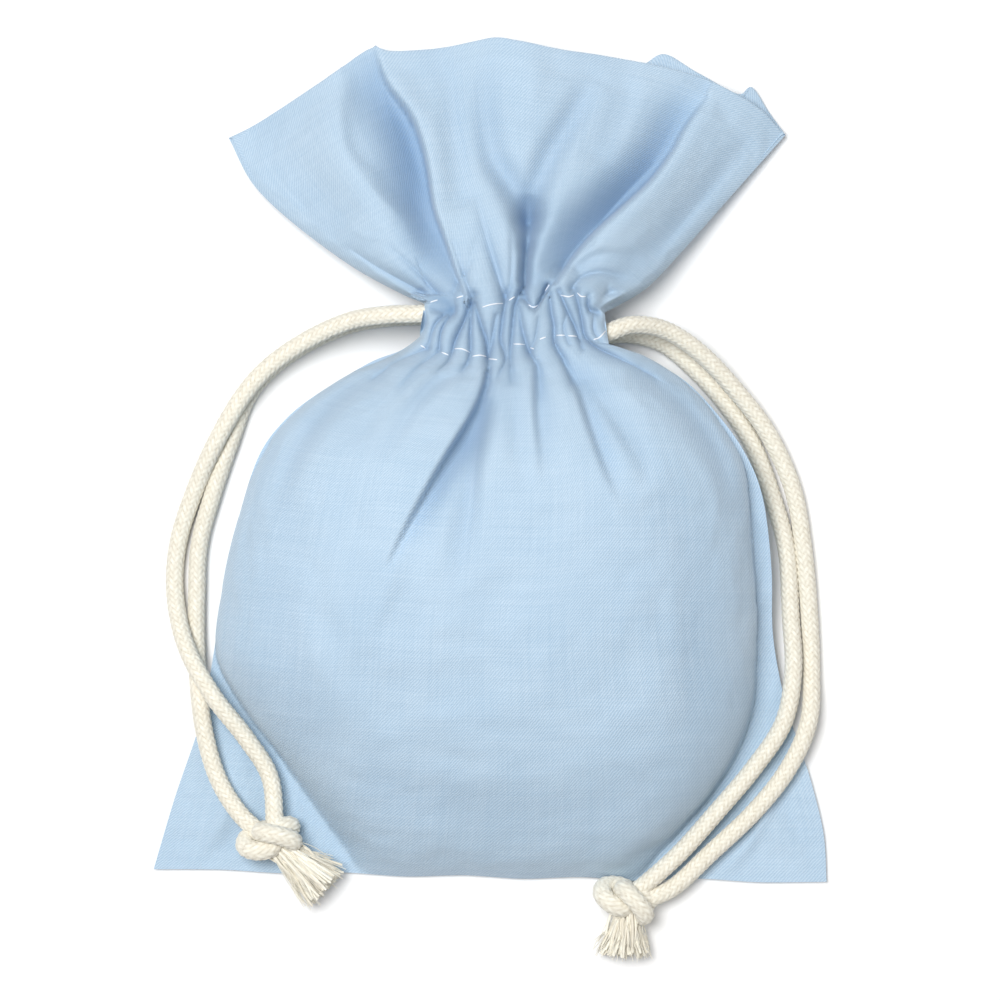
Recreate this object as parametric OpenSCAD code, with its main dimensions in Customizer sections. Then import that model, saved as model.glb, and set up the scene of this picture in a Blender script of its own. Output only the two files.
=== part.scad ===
// Drawstring gift sack of woven cotton, filled, lying on its back with the mouth towards +Y.
// The origin is on the surface it lies on, at the middle of the sack without its cords.

/* [Sack] */
// Width of the sack along its bottom seam
sack_w = 150; // [146:1:154]
// Length from the bottom seam to the top of the frill
sack_l = 187; // [186:1:188]
// Height of the filled belly above the surface
belly_h = 44; // [42:1:48]
// Thickness of the cloth with its lining of air
cloth_t = 1.1; // [0.8:0.1:1.2]
// Width of the sewn seam strips along the sides and the bottom
seam_w = 3; // [2:0.5:4]

/* [Neck] */
// How far the gathered neck sits to the right of the middle
neck_x = 5; // [4:0.5:6]
// Height of the middle of the neck above the surface
neck_z = 14; // [13.5:0.5:15]
// Width of the gathered neck
neck_w = 41; // [40:0.5:42]
// Thickness of the gathered neck from front to back
neck_t = 20; // [20:0.5:21]
// Where the casing starts, measured from the middle of the sack
casing_y = 24.7; // [24.5:0.1:25]
// Height of the casing between its two stitched rows
casing_l = 11.2; // [11.2:0.1:11.6]
// Thickness of the casing's outer wall
casing_t = 1.2; // [1:0.1:1.2]
// Width of the throat that the casing leaves open
throat_w = 14.4; // [13:0.2:14.4]
// Height of the throat from front to back
throat_t = 5.2; // [4.8:0.1:5.2]
// Height of the unsewn slit that the cords come out of
slit_t = 16.8; // [16.6:0.1:17]

/* [Frill] */
// Width of the frill across its two tips
frill_w = 123; // [118:1:126]
// How far the tips of the frill hang back below its top edge
tip_drop = 20.5; // [18:0.5:22]
// Height of the open mouth's upper lip above the surface
mouth_z = 13; // [12:0.5:14]

/* [Cords] */
// Diameter of the drawcords
cord_d = 4; // [3.6:0.1:4]
// Width of each turn of a knot, from the middle of the doubled cord
knot_r = 3.6; // [3.4:0.1:3.8]
// Length of the frayed ends past a knot
tassel_l = 13; // [11:1:13]

/* [Stitches] */
// Length of one stitch
stitch_l = 2.2; // [1.8:0.1:2.4]
// Diameter of the sewing thread
thread_d = 0.5; // [0.4:0.1:0.6]
// Distance from one stitch to the next
stitch_pitch = 3; // [2.8:0.1:3.2]

/* [Hidden] */

cloth_blue = [0.66, 0.78, 0.91];
lining_blue = [0.56, 0.69, 0.84];
seam_blue = [0.60, 0.73, 0.87];
thread_white = [0.95, 0.96, 0.97];
cord_cream = [0.93, 0.90, 0.80];

// Where the sack ends along Y
bottom_y = -sack_l / 2;
top_y = sack_l / 2;
casing_top = casing_y + casing_l;
// Gap between the casing and the frill, so that the frill can lift
frill_gap = 0.3;
frill_y = casing_top + frill_gap;
// The side tips of the frill, and the middle between them
frill_x = 3.5;
tip_z = 2.4;
// The two cords lie side by side in the casing
left_loop_y = casing_y + 7.8;
right_loop_y = casing_y + 3.5;
// Height of a cord's run above and below the middle of the neck
run_z = 6;
// Where the strands leave their loops, to each side of the middle of the neck
exit_x = 17;
// Centre of the turn at a loop's far end
turn_x = 12;
turn_steps = 6;
cord_sides = 8;
// Grid of the cloth panels
across = 20;
along = 22;
frill_along = 12;

// Sections of the filled sack from the bottom seam to the casing:
// y, left edge, right edge, height of the side seam, height of the belly,
// left foot of the belly, right foot of the belly
sections = [
    [-93.5, -75.0, 75.0,  1.1,  2.2, -28, 32],
    [-90.0, -74.0, 74.8,  1.1,  6.5, -31, 35],
    [-84.0, -72.0, 74.0,  1.1, 14.0, -34, 39],
    [-75.0, -69.5, 72.0,  1.2, 23.0, -38.5, 46],
    [-65.0, -66.5, 69.0,  1.4, 31.0, -45.5, 52.5],
    [-55.0, -64.0, 66.0,  2.0, 37.0, -54, 59],
    [-42.0, -61.5, 62.5,  5.0, 42.0, -61.5, 62.5],
    [-24.0, -58.5, 61.5, 10.0, 44.0, -58.5, 61.5],
    [ -8.0, -54.0, 59.5, 13.5, 43.5, -54.0, 59.5],
    [  2.0, -50.5, 55.0, 15.0, 41.0, -50.5, 55.0],
    [ 10.0, -44.5, 49.3, 15.5, 37.0, -44.5, 49.3],
    [ 16.0, -36.5, 43.5, 15.0, 32.5, -36.5, 43.5],
    [ 21.0, -28.0, 34.5, 14.5, 28.0, -28.0, 34.5],
    [ 24.7, -15.5, 25.5, 14.0, 24.0, -15.5, 25.5]
];

// Routes of the four free strands, from the casing to the knot
left_front_route = [
    [-12, 32.5, 20], [-16, 32.5, 20], [-23, 32.3, 19], [-31, 31.2, 14.5], [-40, 27.5, 10],
    [-48.5, 22, 7.2], [-55, 15, 6.2], [-61.2, 4.5, 5], [-66.2, -6.5, 2.4], [-69.8, -18, 2],
    [-70.4, -29.5, 2.4], [-67.5, -41, 6.6], [-61.5, -51.5, 9.2], [-54.3, -61, 7.2], [-49, -70, 6],
    [-48.6, -79, 8]
];
left_back_route = [
    [-12, 32.5, 8], [-16, 32.5, 8], [-23, 32.2, 6.5], [-31, 31, 3.4], [-40, 27.3, 2],
    [-48.3, 21.8, 2], [-54.3, 14.8, 2], [-58.2, 4.5, 2], [-61.9, -6.5, 2], [-65, -18, 2],
    [-65.6, -29.5, 2], [-65.6, -40.5, 2.4], [-64.8, -51, 6.2], [-63.4, -61, 5.6],
    [-60.5, -70.5, 5], [-53.5, -79.5, 7]
];
right_front_route = [
    [22, 28.2, 20], [25, 28.2, 20], [31, 30.2, 18], [38.5, 29.2, 13], [46.5, 24.2, 8.8],
    [54.5, 16, 5.4], [61.8, 6.4, 3.4], [67.4, -6, 2], [69.8, -20, 2], [71, -34, 2], [71.4, -46, 2.4],
    [70.6, -57.5, 5.2], [66, -68, 5], [58.5, -77.5, 5], [49, -86.5, 5], [40, -94.6, 5.4],
    [34, -97.8, 6.6]
];
right_back_route = [
    [22, 28.2, 8], [25, 28.2, 8], [31, 28.6, 5.4], [38.5, 26.5, 2.6], [45.3, 21, 2],
    [52.2, 13.4, 2], [58.5, 3.8, 2], [63.2, -9, 2], [66, -20, 2], [66.8, -34, 2.4],
    [67.2, -46, 4.8], [65, -57.5, 6], [58.5, -67.5, 6], [50.5, -77, 6], [42.5, -86, 6],
    [34.2, -93.6, 6.8]
];
// Middles of the knots, and where their frayed ends point
left_knot_at = [-48.6, -83.2, 8.6];
left_tassel_end = [-37, -94.5, 7.4];
right_knot_at = [30.3, -97.8, 6.8];
right_tassel_end = [29.2, -110, 5.8];

// Smooth curve through the rows of a table, with t from 0 at the first row to 1 at the last
function blend4(p, q, r, s, t) = (
    2 * q + (r - p) * t + (2 * p - 5 * q + 4 * r - s) * t * t + (3 * q - p - 3 * r + s) * t * t * t
) / 2;
function row_at(rows, i) = rows[max(0, min(len(rows) - 1, i))];
function smooth(rows, t) =
    let (s = t * (len(rows) - 1), i = min(floor(s), len(rows) - 2))
    blend4(row_at(rows, i - 1), rows[i], rows[i + 1], row_at(rows, i + 2), s - i);
function mix(a, b, t) = a + (b - a) * t;
function unit(v) = v / norm(v);
function dome(s, power) = 1 - pow(min(1, abs(s)), power);

function tall(z) = z * belly_h / 44;
function wide(x) = x * sack_w / 150;
// Where the belly stands on a section: -1 at its left foot, 1 at its right foot
function belly_place(row, x) =
    let (left = max(wide(row[5]), wide(row[1]) + seam_w), right = min(wide(row[6]), wide(row[2]) - seam_w))
    (2 * x - left - right) / (right - left);
function seam_z(row) = max(cloth_t, row[3]);
function front_z(row, x) =
    let (flat = seam_z(row) + cloth_t)
    flat + max(0, tall(row[4]) - flat) * dome(belly_place(row, x), 3);
function back_z(row, x) = (seam_z(row) - cloth_t) * (1 - dome(belly_place(row, x), 5));

// Grid points of a body panel; side is 1 on the front and -1 on the back
function body_y(row) = row[0] * sack_l / 187;
function body_row(t) = smooth(sections, t);
panel_rows = [for (j = [0 : along]) body_row(j / along)];
seam_start = [for (row = panel_rows) if (body_y(row) > bottom_y + seam_w) row];
open_rows = concat([body_row_at(bottom_y + seam_w)], seam_start);
function body_row_at(y) =
    let (t = (y - sections[0][0]) / (sections[1][0] - sections[0][0]))
    mix(sections[0], sections[1], t);
function panel_x(row, i) = mix(wide(row[1]) + seam_w, wide(row[2]) - seam_w, i / across);
function front_grid(drop) = [
    for (row = open_rows) [
        for (i = [0 : across]) let (x = panel_x(row, i)) [x, body_y(row), front_z(row, x) - drop]
    ]
];
function back_grid(rise) = [
    for (row = open_rows) [
        for (i = [0 : across]) let (x = panel_x(row, i)) [x, body_y(row), back_z(row, x) + rise]
    ]
];
// Edge strips: the seam allowances of both panels, sewn together
function seam_grid(inner, outer, side) = [
    for (row = open_rows) [
        for (x = [inner(row), outer(row)]) [x, body_y(row), seam_z(row) + side * cloth_t]
    ]
];

// Closed shell between two grids of points, upper above lower
module shell(upper, lower) {
    rows = len(upper);
    cols = len(upper[0]);
    count = rows * cols;
    function at(r, c) = r * cols + c;
    top = [
        for (r = [0 : rows - 2]) for (c = [0 : cols - 2])
            each [[at(r, c), at(r + 1, c), at(r + 1, c + 1)], [at(r, c), at(r + 1, c + 1), at(r, c + 1)]]
    ];
    bottom = [for (f = top) [f[2] + count, f[1] + count, f[0] + count]];
    rim = concat(
        [for (c = [0 : cols - 2]) [at(0, c), at(0, c + 1)]],
        [for (r = [0 : rows - 2]) [at(r, cols - 1), at(r + 1, cols - 1)]],
        [for (c = [cols - 1 : -1 : 1]) [at(rows - 1, c), at(rows - 1, c - 1)]],
        [for (r = [rows - 1 : -1 : 1]) [at(r, 0), at(r - 1, 0)]]
    );
    sides = [
        for (e = rim) each [[e[0], e[1], e[1] + count], [e[0], e[1] + count, e[0] + count]]
    ];
    polyhedron(
        points = concat([for (row = upper) each row], [for (row = lower) each row]),
        faces = concat(top, bottom, sides)
    );
}

module front_panel() {
    color(cloth_blue) shell(front_grid(0), front_grid(cloth_t));
}

module back_panel() {
    color(cloth_blue) shell(back_grid(cloth_t), back_grid(0));
}

module left_side_seam() {
    inner = function (row) wide(row[1]);
    outer = function (row) wide(row[1]) + seam_w;
    color(seam_blue) shell(seam_grid(inner, outer, 1), seam_grid(inner, outer, -1));
}

module right_side_seam() {
    inner = function (row) wide(row[2]) - seam_w;
    outer = function (row) wide(row[2]);
    color(seam_blue) shell(seam_grid(inner, outer, 1), seam_grid(inner, outer, -1));
}

module bottom_seam() {
    first = sections[0];
    second = open_rows[0];
    color(seam_blue)
    shell(
        [for (row = [first, second]) [for (x = [wide(row[1]), wide(row[2])])
            [x, body_y(row), 2 * cloth_t]]],
        [for (row = [first, second]) [for (x = [wide(row[1]), wide(row[2])])
            [x, body_y(row), 0]]]
    );
}

// Flat oval with round ends, as the gathered neck has
module oval(width, height) {
    square([width - height, height], center = true);
    for (side = [-1, 1]) translate([side * (width - height) / 2, 0]) circle(d = height, $fn = 64);
}

// Turns a flat drawing in X and Z into a solid along +Y, around the middle of the neck
module along_neck(from_y, length) {
    translate([neck_x, from_y + length, neck_z]) rotate([90, 0, 0]) linear_extrude(length) children();
}

// Outer wall of the casing; side is 1 on the front and -1 on the back
module casing_wall(side) {
    along_neck(casing_y, casing_l) difference() {
        oval(neck_w, neck_t);
        oval(neck_w - 2 * casing_t, neck_t - 2 * casing_t);
        translate([-neck_w, side > 0 ? -neck_t : -slit_t / 2]) square([2 * neck_w, neck_t + slit_t / 2]);
    }
}

module front_casing() {
    color(cloth_blue) casing_wall(1);
}

module back_casing() {
    color(cloth_blue) casing_wall(-1);
}

// Inner wall of the casing, turned in from the frill, with the folds that close the tunnel
module facing(side) {
    fold_l = 1.1;
    module half() {
        intersection() {
            children();
            translate([-neck_w, side > 0 ? 0 : -neck_t]) square([2 * neck_w, neck_t]);
        }
    }
    module fold() {
        half() difference() {
            oval(neck_w - 2 * casing_t, neck_t - 2 * casing_t);
            square([throat_w, throat_t], center = true);
        }
    }
    along_neck(casing_y, fold_l) fold();
    along_neck(casing_top - fold_l, fold_l) fold();
    wall_t = 0.9;
    along_neck(casing_y, casing_l)
        translate([-throat_w / 2, side > 0 ? throat_t / 2 : -throat_t / 2 - wall_t]) square([throat_w, wall_t]);
}

module front_facing() {
    color(lining_blue) facing(1);
}

module back_facing() {
    color(lining_blue) facing(-1);
}

// One row of running stitches across the casing, on the side that side names, at height y
module stitch_row(side, y) {
    end_x = (neck_w - neck_t) / 2;
    reach = neck_t / 2 + thread_d / 2;
    step_angle = stitch_pitch / neck_t * 360 / PI;
    last = floor(end_x / stitch_pitch);
    translate([neck_x, y, neck_z]) {
        for (k = [-last : last])
            translate([k * stitch_pitch, 0, side * reach]) stitch();
        for (end = [-1, 1])
            translate([end * end_x, 0, 0])
                rotate([0, end * side * step_angle, 0])
                    translate([0, 0, side * reach]) stitch();
    }
}

module stitch() {
    rotate([0, 90, 0]) cylinder(h = stitch_l, d = thread_d, center = true, $fn = 16);
}

module front_upper_stitching() {
    color(thread_white) stitch_row(1, casing_top - thread_d);
}

module front_lower_stitching() {
    color(thread_white) stitch_row(1, casing_y + thread_d);
}

module back_upper_stitching() {
    color(thread_white) stitch_row(-1, casing_top - thread_d);
}

module back_lower_stitching() {
    color(thread_white) stitch_row(-1, casing_y + thread_d);
}

// A point of the frill, with u from -1 at the left seam to 1 at the right one and v from the
// casing to the mouth; side is 1 on the front and -1 on the back
function frill_neck(u, side) = [
    neck_x + neck_w / 2 * u,
    frill_y,
    neck_z + side * (neck_t / 2 - cloth_t) * dome(u, 2.6)
];
function frill_mouth(u, side) = [
    frill_x + frill_w / 2 * u,
    top_y - tip_drop * pow(abs(u), 2.6),
    side > 0 ? mix(tip_z, mouth_z - cloth_t, dome(u, 2)) : mix(tip_z, cloth_t, dome(u, 8))
];
function frill_point(u, v, side) =
    let (swell = sin(180 * v) * pow(abs(u), 3))
    mix(frill_neck(u, side), frill_mouth(u, side), v) + [sign(u) * 4 * swell, -3 * swell, 0];
function frill_u(i) = mix(-1, 1, i / across);
// How much of the width the seam strips take on each side
seam_u = 2 * seam_w / frill_w;
function frill_grid(from_u, to_u, steps, side, lift) = [
    for (j = [0 : frill_along]) [
        for (i = [0 : steps]) frill_point(mix(from_u, to_u, i / steps), j / frill_along, side) + [0, 0, lift]
    ]
];

module frill(side) {
    color(cloth_blue)
    shell(
        frill_grid(seam_u - 1, 1 - seam_u, across, side, side > 0 ? cloth_t : 0),
        frill_grid(seam_u - 1, 1 - seam_u, across, side, side > 0 ? 0 : -cloth_t)
    );
}

module front_frill() {
    frill(1);
}

module back_frill() {
    frill(-1);
}

// Side seam of the frill between two places across it
module frill_seam(from_u, to_u) {
    color(seam_blue)
    shell(frill_grid(from_u, to_u, 1, 1, cloth_t), frill_grid(from_u, to_u, 1, -1, -cloth_t));
}

module left_frill_seam() {
    frill_seam(-1, seam_u - 1);
}

module right_frill_seam() {
    frill_seam(1 - seam_u, 1);
}

// Round tube along a route; across_dir is any direction that the route never runs along
module tube(route, across_dir) {
    last = len(route) - 1;
    function heading(i) = unit(route[min(last, i + 1)] - route[max(0, i - 1)]);
    function ring(i) =
        let (ahead = heading(i), a = unit(cross(ahead, across_dir)), b = cross(ahead, a))
        [for (k = [0 : cord_sides - 1]) let (turn = 360 * (k + 0.5) / cord_sides)
            route[i] + cord_d / 2 * (cos(turn) * a + sin(turn) * b)];
    function next(k) = (k + 1) % cord_sides;
    walls = [
        for (i = [0 : last - 1]) for (k = [0 : cord_sides - 1])
            let (p = i * cord_sides, q = p + cord_sides)
            each [[p + k, q + next(k), p + next(k)], [p + k, q + k, q + next(k)]]
    ];
    start_cap = [for (k = [1 : cord_sides - 2]) [0, k, k + 1]];
    end = last * cord_sides;
    end_cap = [for (k = [1 : cord_sides - 2]) [end, end + k + 1, end + k]];
    polyhedron(
        points = [for (i = [0 : last]) each ring(i)],
        faces = concat(walls, start_cap, end_cap)
    );
}

// The part of a cord that runs round inside the casing; side is -1 where its ends leave on the left
function loop_route(side, y) = concat(
    [[neck_x + side * exit_x, y, neck_z + run_z]],
    [for (k = [0 : turn_steps])
        let (turn = 180 * k / turn_steps)
        [neck_x - side * (turn_x + run_z * sin(turn)), y, neck_z + run_z * cos(turn)]],
    [[neck_x + side * exit_x, y, neck_z - run_z]]
);

module left_cord_loop() {
    color(cord_cream) tube(loop_route(-1, left_loop_y), [0, 1, 0]);
}

module right_cord_loop() {
    color(cord_cream) tube(loop_route(1, right_loop_y), [0, 1, 0]);
}

module left_front_strand() {
    color(cord_cream) tube(left_front_route, [0, 0, 1]);
}

module left_back_strand() {
    color(cord_cream) tube(left_back_route, [0, 0, 1]);
}

module right_front_strand() {
    color(cord_cream) tube(right_front_route, [0, 0, 1]);
}

module right_back_strand() {
    color(cord_cream) tube(right_back_route, [0, 0, 1]);
}

// Turns a solid that stands on the origin along +Z so that it points from one place to another
module point_from(from, to) {
    way = to - from;
    flat = norm([way[0], way[1]]);
    translate(from) rotate([0, atan2(flat, way[2]), atan2(way[1], way[0])]) children();
}

// Overhand knot of the doubled cord: two fat turns round a core
module knot(at, tassel_end) {
    color(cord_cream) point_from(at, tassel_end) {
        for (turn = [-2, 2])
            translate([0, 0, turn]) rotate_extrude($fn = 48) translate([knot_r, 0]) circle(d = cord_d * 1.1, $fn = 24);
        sphere(r = knot_r, $fn = 32);
    }
}

module left_knot() {
    knot(left_knot_at, left_tassel_end);
}

module right_knot() {
    knot(right_knot_at, right_tassel_end);
}

// Frayed cord ends, spread like a brush
module tassel(at, tassel_end) {
    color(cord_cream) point_from(at, tassel_end)
        translate([0, 0, knot_r]) cylinder(h = tassel_l, r1 = cord_d * 0.6, r2 = cord_d * 1.2, $fn = 32);
}

module left_tassel() {
    tassel(left_knot_at, left_tassel_end);
}

module right_tassel() {
    tassel(right_knot_at, right_tassel_end);
}

front_panel();
back_panel();
left_side_seam();
right_side_seam();
bottom_seam();
front_casing();
back_casing();
front_facing();
back_facing();
front_upper_stitching();
front_lower_stitching();
back_upper_stitching();
back_lower_stitching();
front_frill();
back_frill();
left_frill_seam();
right_frill_seam();
left_cord_loop();
left_front_strand();
left_back_strand();
left_knot();
left_tassel();
right_cord_loop();
right_front_strand();
right_back_strand();
right_knot();
right_tassel();
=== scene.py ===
import math

import bpy
import numpy as np
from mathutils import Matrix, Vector


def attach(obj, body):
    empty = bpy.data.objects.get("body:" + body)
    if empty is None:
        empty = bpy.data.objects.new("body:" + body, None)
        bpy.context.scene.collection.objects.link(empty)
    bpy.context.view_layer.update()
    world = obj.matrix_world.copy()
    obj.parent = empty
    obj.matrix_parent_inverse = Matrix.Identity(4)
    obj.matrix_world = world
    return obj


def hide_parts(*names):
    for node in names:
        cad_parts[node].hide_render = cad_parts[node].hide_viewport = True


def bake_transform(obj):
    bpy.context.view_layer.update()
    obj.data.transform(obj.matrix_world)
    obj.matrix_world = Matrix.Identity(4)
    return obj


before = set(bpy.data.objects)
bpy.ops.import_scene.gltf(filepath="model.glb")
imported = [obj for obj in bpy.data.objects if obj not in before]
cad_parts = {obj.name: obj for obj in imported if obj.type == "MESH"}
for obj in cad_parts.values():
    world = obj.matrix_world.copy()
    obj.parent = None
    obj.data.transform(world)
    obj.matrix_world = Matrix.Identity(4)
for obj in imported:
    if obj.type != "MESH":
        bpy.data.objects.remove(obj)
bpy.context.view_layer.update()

MM = 0.001


# ---------------------------------------------------------------- camera, light and floor

CAMERA_HEIGHT = 0.90
VIEW_CENTRE = (0.0020, -0.0082)
VIEW_WIDTH = 0.2198
SUBJECT_HEIGHT = 0.015
SENSOR = 36.0


def add_camera():
    data = bpy.data.cameras.new("camera")
    data.sensor_width = SENSOR
    data.lens = SENSOR * (CAMERA_HEIGHT - SUBJECT_HEIGHT) / VIEW_WIDTH
    data.clip_start = 0.01
    camera = bpy.data.objects.new("camera", data)
    camera.location = (*VIEW_CENTRE, CAMERA_HEIGHT)
    bpy.context.scene.collection.objects.link(camera)
    bpy.context.scene.camera = camera


def add_area_light(name, location, size, power):
    data = bpy.data.lights.new(name, "AREA")
    data.shape = "DISK"
    data.size = size
    data.energy = power
    light = bpy.data.objects.new(name, data)
    light.location = location
    aim = Vector((0, 0, 0.01)) - Vector(location)
    light.rotation_euler = aim.to_track_quat("-Z", "Y").to_euler()
    bpy.context.scene.collection.objects.link(light)


def add_world(strength):
    world = bpy.data.worlds.new("studio")
    world.use_nodes = True
    background = world.node_tree.nodes["Background"]
    background.inputs["Color"].default_value = (1, 1, 1, 1)
    background.inputs["Strength"].default_value = strength
    bpy.context.scene.world = world


def add_floor():
    bpy.ops.mesh.primitive_plane_add(size=6, location=(0, 0, -0.0002))
    floor = bpy.context.object
    floor.name = "floor"
    floor.data.materials.append(floor_material())


# ---------------------------------------------------------------- material helpers

def new_material(name):
    material = bpy.data.materials.new(name)
    material.use_nodes = True
    tree = material.node_tree
    return material, tree, tree.nodes["Principled BSDF"]


def set_inputs(node, **values):
    for key, value in values.items():
        node.inputs[key.replace("_", " ")].default_value = value


def add_node(tree, kind, **inputs):
    node = tree.nodes.new(kind)
    set_inputs(node, **inputs)
    return node


def math_node(tree, operation, first, second=None):
    node = tree.nodes.new("ShaderNodeMath")
    node.operation = operation
    for slot, value in enumerate((first, second)):
        if value is None:
            continue
        if isinstance(value, (int, float)):
            node.inputs[slot].default_value = value
        else:
            tree.links.new(value, node.inputs[slot])
    return node.outputs[0]


def mix_colour(tree, factor, first, second):
    node = tree.nodes.new("ShaderNodeMix")
    node.data_type = "RGBA"
    tree.links.new(factor, node.inputs["Factor"])
    for socket, value in ((node.inputs[6], first), (node.inputs[7], second)):
        if hasattr(value, "links"):
            tree.links.new(value, socket)
        else:
            socket.default_value = (*value, 1)
    return node.outputs[2]


def bump(tree, height, strength, distance):
    node = add_node(tree, "ShaderNodeBump", Strength=strength, Distance=distance)
    tree.links.new(height, node.inputs["Height"])
    return node.outputs["Normal"]


def attribute(tree, name):
    node = tree.nodes.new("ShaderNodeAttribute")
    node.attribute_name = name
    return node.outputs["Vector"]


def split(tree, vector):
    node = tree.nodes.new("ShaderNodeSeparateXYZ")
    tree.links.new(vector, node.inputs[0])
    return node.outputs


def stretched(tree, vector, scale):
    node = add_node(tree, "ShaderNodeMapping", Scale=scale)
    tree.links.new(vector, node.inputs["Vector"])
    return node.outputs["Vector"]


def noise(tree, vector, **settings):
    node = add_node(tree, "ShaderNodeTexNoise", **settings)
    tree.links.new(vector, node.inputs["Vector"])
    return node.outputs["Fac"]


def blended(tree, *parts):
    """Sum of values, each times its weight."""
    total = None
    for value, weight in parts:
        term = math_node(tree, "MULTIPLY", value, weight)
        total = term if total is None else math_node(tree, "ADD", total, term)
    return total


def graded(tree, value, low, high):
    """How far a value is on the way from low to high."""
    node = add_node(tree, "ShaderNodeMapRange", From_Min=low, From_Max=high)
    tree.links.new(value, node.inputs["Value"])
    return node.outputs["Result"]


def ripple(tree, value, pitch):
    """A wave between 0 and 1 that repeats each pitch."""
    wave = math_node(tree, "SINE", math_node(tree, "MULTIPLY", value, 2 * math.pi / pitch))
    wave = math_node(tree, "MULTIPLY_ADD", wave, 0.5)
    wave.node.inputs[2].default_value = 0.5
    return wave


def floor_material():
    material, _, shader = new_material("floor")
    set_inputs(shader, Base_Color=(0.93, 0.93, 0.93, 1), Roughness=0.9)
    return material


# Cord colours: the dark end serves both for darker fibres and for the painted shade in the gaps between
# yarns
CORD_DARK = (0.62, 0.55, 0.42)
CORD_LIGHT = (0.95, 0.92, 0.81)
THREAD_DARK = (0.80, 0.84, 0.90)
THREAD_LIGHT = (0.96, 0.97, 1.0)
CLOTH_DARK = (0.37, 0.51, 0.65)
CLOTH_LIGHT = (0.59, 0.71, 0.82)
# Deep blue of the painted shade in the cloth's folds
CLOTH_FOLD_SHADE = (0.15, 0.27, 0.44)
RIB_PITCH = 0.78
WEFT_PITCH = 0.40


def twill_material():
    """Fine twill: slanted ribs across the cloth's own coordinates, with uneven yarns and a soft sheen.

    The third coordinate says how deep in a fold the cloth is, and the colour is darkened with it as painted
    shade in the folds.
    """
    material, tree, shader = new_material("cotton_twill")
    cloth = attribute(tree, "cloth")
    # across and along place the weave; depth is how strong the painted fold shade is
    across, along, depth = split(tree, cloth)
    wobble = noise(tree, cloth, Scale=0.8, Detail=3.0, Roughness=0.6)
    slant = math_node(tree, "SUBTRACT", across, along)
    slant = math_node(tree, "ADD", slant, math_node(tree, "MULTIPLY", wobble, 0.8))
    weave = blended(tree, (ripple(tree, slant, RIB_PITCH), 0.88), (ripple(tree, along, WEFT_PITCH), 0.12))
    # Uneven yarns: long streaks along the warp and the weft
    warp = noise(tree, stretched(tree, cloth, (2.2, 0.03, 1.0)), Scale=1.0, Detail=2.0)
    weft = noise(tree, stretched(tree, cloth, (0.03, 2.2, 1.0)), Scale=1.0, Detail=2.0)
    streaks = blended(tree, (warp, 0.5), (weft, 0.5))
    blotches = noise(tree, cloth, Scale=0.06, Detail=3.0)

    tone = blended(tree, (weave, 0.36), (streaks, 0.50), (blotches, 0.25))
    open_cloth = mix_colour(tree, graded(tree, tone, 0.35, 0.95), CLOTH_DARK, CLOTH_LIGHT)
    # Painted shade: the colour darkens towards deep blue the deeper in a fold the cloth lies
    tree.links.new(mix_colour(tree, depth, open_cloth, CLOTH_FOLD_SHADE), shader.inputs["Base Color"])
    height = blended(tree, (weave, 1.0), (streaks, 0.6))
    tree.links.new(bump(tree, height, 0.6, 0.0001), shader.inputs["Normal"])
    set_inputs(shader, Roughness=0.82, Specular_IOR_Level=0.25, Sheen_Weight=0.25, Sheen_Roughness=0.5,
               Sheen_Tint=(0.85, 0.92, 1.0, 1))
    return material


def cord_material():
    """Natural cotton with fine fibres along each yarn; on the braids each yarn is lighter on its crown and
    darker in the gaps: painted shade.
    """
    material, tree, shader = new_material("cotton_cord")
    yarn = attribute(tree, "yarn")
    # Third yarn coordinate: the crown on the braids, which gives painted shade in the gaps; a random tone on
    # the frayed yarns
    crown = split(tree, yarn)[2]
    fibres = noise(tree, stretched(tree, yarn, (9.0, 0.9, 1.0)), Scale=1.0, Detail=3.0, Roughness=0.7)
    blotches = noise(tree, yarn, Scale=0.25, Detail=3.0)
    tone = blended(tree, (crown, 0.65), (fibres, 0.35), (blotches, 0.25))
    colour = mix_colour(tree, graded(tree, tone, 0.25, 0.95), CORD_DARK, CORD_LIGHT)
    tree.links.new(colour, shader.inputs["Base Color"])
    tree.links.new(bump(tree, fibres, 0.6, 0.00012), shader.inputs["Normal"])
    set_inputs(shader, Roughness=0.85, Specular_IOR_Level=0.2, Sheen_Weight=0.35, Sheen_Roughness=0.6)
    return material


def thread_material():
    material, tree, shader = new_material("sewing_thread")
    twist = add_node(tree, "ShaderNodeTexWave", Scale=0.6, Distortion=1.0)
    twist.bands_direction = "DIAGONAL"
    tree.links.new(stretched(tree, attribute(tree, "yarn"), (1.0, 6.0, 1.0)), twist.inputs["Vector"])
    twist = twist.outputs["Fac"]
    tree.links.new(mix_colour(tree, twist, THREAD_DARK, THREAD_LIGHT), shader.inputs["Base Color"])
    tree.links.new(bump(tree, twist, 0.4, 0.00005), shader.inputs["Normal"])
    set_inputs(shader, Roughness=0.55, Sheen_Weight=0.2)
    return material


# ---------------------------------------------------------------- curves and meshes

def unit(values):
    return np.clip(values, 0, 1)


def eased(values):
    """Values kept between 0 and 1, level at both ends."""
    values = unit(values)
    return values * values * (3 - 2 * values)


def run_along(path):
    """Distance along a path to each of its points."""
    return np.r_[0, np.cumsum(np.linalg.norm(np.diff(path, axis=0), axis=1))]


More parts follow.
